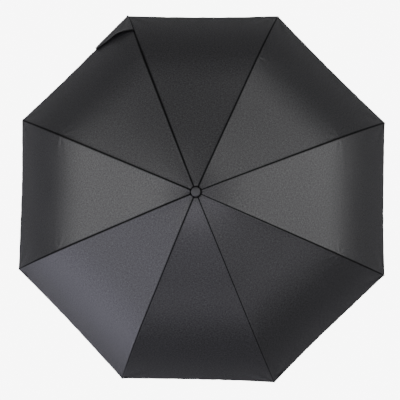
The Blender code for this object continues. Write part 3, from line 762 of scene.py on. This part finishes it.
def rounded_shading():
    """Node group that shades round faces smooth and keeps their corners crisp."""
    group = bpy.data.node_groups.new("rounded_shading", "GeometryNodeTree")
    for way in ("INPUT", "OUTPUT"):
        group.interface.new_socket("Geometry", in_out=way, socket_type="NodeSocketGeometry")

    def step(kind, before, *settings):
        node = group.nodes.new(kind)
        for key, value in settings:
            node.inputs[key].default_value = value
        if before is not None:
            group.links.new(before.outputs[0], node.inputs[0])
        return node

    welded = step("GeometryNodeMergeByDistance", step("NodeGroupInput", None), ("Distance", 1e-6))
    plain = step("GeometryNodeRemoveAttribute", welded, ("Name", "custom_normal"))
    smooth = step("GeometryNodeSetShadeSmooth", plain)
    crisp = step("GeometryNodeSetShadeSmooth", smooth, ("Shade Smooth", False))
    crisp.domain = "EDGE"
    corner = group.nodes.new("FunctionNodeCompare")
    corner.inputs[1].default_value = math.radians(38)
    group.links.new(group.nodes.new("GeometryNodeInputMeshEdgeAngle").outputs[0], corner.inputs[0])
    group.links.new(corner.outputs[0], crisp.inputs["Selection"])
    step("NodeGroupOutput", crisp)
    return group


def paint(material, *names):
    for name in names:
        for slot in frame["nodes"][name].material_slots:
            slot.material = material


def around(name):
    return [f"{name}_{rib}" for rib in range(1, RIBS + 1)]


def add_materials():
    shading = rounded_shading()
    for node in frame["nodes"].values():
        node.modifiers.new("rounded_shading", "NODES").node_group = shading
    cloth = cloth_material("canopy_cloth", (0.005, 0.005, 0.0055), (0.025, 0.025, 0.0265))
    strap = cloth_material("strap_cloth", (0.010, 0.010, 0.0105), (0.040, 0.040, 0.0415), ribbed=True)
    lacquer = metal("black_lacquer", (0.07, 0.07, 0.075), 0.32, (1, 1, 1), 0.6)
    plated = metal("nickel_plate", (0.66, 0.66, 0.68), 0.25)
    shaft = metal("drawn_tube", (0.74, 0.74, 0.76), 0.28, (1, 1, 0.04))
    paint(lacquer, *around("top_rib"), *around("middle_rib"), *around("outer_rib"))
    paint(plated, *around("stretcher"), "notch_ring", "runner_ring", "opening_spring", "button_spring",
          "latch_lever", "latch_pin", "strap_snap")
    paint(shaft, "lower_tube", "middle_tube", "upper_tube")
    paint(moulded("tip_plastic", (0.012, 0.012, 0.013), 0.35), *around("rib_tip"))
    paint(moulded("cap_plastic", (0.018, 0.018, 0.0195), 0.55), "cap")
    paint(moulded("moulded_plastic", (0.030, 0.030, 0.032), 0.38),
          "top_notch", "runner", "handle_end_cap")
    paint(moulded("button_plastic", (0.10, 0.10, 0.105), 0.35), "push_button")
    paint(moulded("soft_grip", (0.022, 0.022, 0.023), 0.6, 1400.0, 0.0001), "handle_grip")
    paint(cloth, "canopy_washer")
    paint(cord_material(), "wrist_loop")
    return cloth, strap


# --- Stage, light, camera -------------------------------------------------------------------------

def add_floor():
    """A pale floor, seen from above only."""
    size = FLOOR_HALF
    mesh = bpy.data.meshes.new("floor")
    corners = [(-size, -size, 0), (size, -size, 0), (size, size, 0), (-size, size, 0)]
    mesh.from_pydata(corners, [], [(0, 1, 2, 3)])
    floor = bpy.data.objects.new("floor", mesh)
    floor.location.z = -FLOOR_DROP
    bpy.context.scene.collection.objects.link(floor)
    n = Nodes("pale_floor")
    n.finish(Base_Color=(0.25, 0.25, 0.25), Roughness=0.9)
    glow = n.add("ShaderNodeEmission", {"Color": (1, 1, 1, 1), "Strength": WHITE})
    clear = n.add("ShaderNodeBsdfTransparent")
    seen = n.add("ShaderNodeLightPath").outputs["Is Camera Ray"]
    below = n.add("ShaderNodeNewGeometry").outputs["Backfacing"]
    above = n.add("ShaderNodeMixShader", {0: seen, 1: n.shader.outputs[0], 2: glow.outputs[0]})
    both = n.add("ShaderNodeMixShader", {0: below, 1: above.outputs[0], 2: clear.outputs[0]})
    n.tree.links.new(both.outputs[0], n.tree.nodes["Material Output"].inputs[0])
    mesh.materials.append(n.material)


def add_world():
    """Weak even light; the backdrop itself looks white."""
    world = bpy.data.worlds.new("studio")
    world.use_nodes = True
    tree = world.node_tree
    back = tree.nodes["Background"]
    back.inputs[0].default_value = (1.0, 0.99, 1.0, 1)
    seen = tree.nodes.new("ShaderNodeLightPath").outputs["Is Camera Ray"]
    toward = tree.nodes.new("ShaderNodeTexCoord").outputs["Generated"]
    split = tree.nodes.new("ShaderNodeSeparateXYZ")
    tree.links.new(toward, split.inputs[0])
    even = tree.nodes.new("ShaderNodeMapRange")
    even.inputs[1].default_value, even.inputs[2].default_value = 0.0, 1.0
    even.inputs[3].default_value, even.inputs[4].default_value = AMBIENT
    tree.links.new(split.outputs[2], even.inputs[0])
    level = tree.nodes.new("ShaderNodeMix")
    level.inputs[3].default_value = WHITE
    tree.links.new(even.outputs[0], level.inputs[2])
    tree.links.new(seen, level.inputs[0])
    tree.links.new(level.outputs[0], back.inputs[1])
    bpy.context.scene.world = world


def add_light(name, around, down, distance, size, radiance, colour=(1, 1, 1)):
    """A softbox facing the hub: its direction around from +X and down from overhead, in degrees."""
    a, b = math.radians(around), math.radians(down)
    toward = Vector((math.cos(a) * math.sin(b), math.sin(a) * math.sin(b), math.cos(b)))
    light = bpy.data.lights.new(name, "AREA")
    light.shape, light.size, light.size_y = "RECTANGLE", *size
    light.energy, light.color = radiance * math.pi * size[0] * size[1], colour
    thing = bpy.data.objects.new(name, light)
    thing.location = Vector((0, 0, 0.5)) + distance * toward
    thing.rotation_euler = (-toward).to_track_quat("-Z", "Y").to_euler()
    thing.visible_camera = False
    bpy.context.scene.collection.objects.link(thing)


def add_stage():
    add_floor()
    add_world()
    for light in LIGHTS:
        add_light(*light)


def add_camera():
    data = bpy.data.cameras.new("camera")
    data.lens, data.sensor_width = CAMERA_LENS, SENSOR
    data.clip_start, data.clip_end = 0.05, 60
    camera = bpy.data.objects.new("camera", data)
    camera.location = CAMERA_PLACE
    camera.rotation_euler = CAMERA_TURN
    bpy.context.scene.collection.objects.link(camera)
    bpy.context.scene.camera = camera


def main():
    cloth, strap = add_materials()
    add_canopy(cloth)
    add_strap(strap)
    add_stage()
    add_camera()


main()
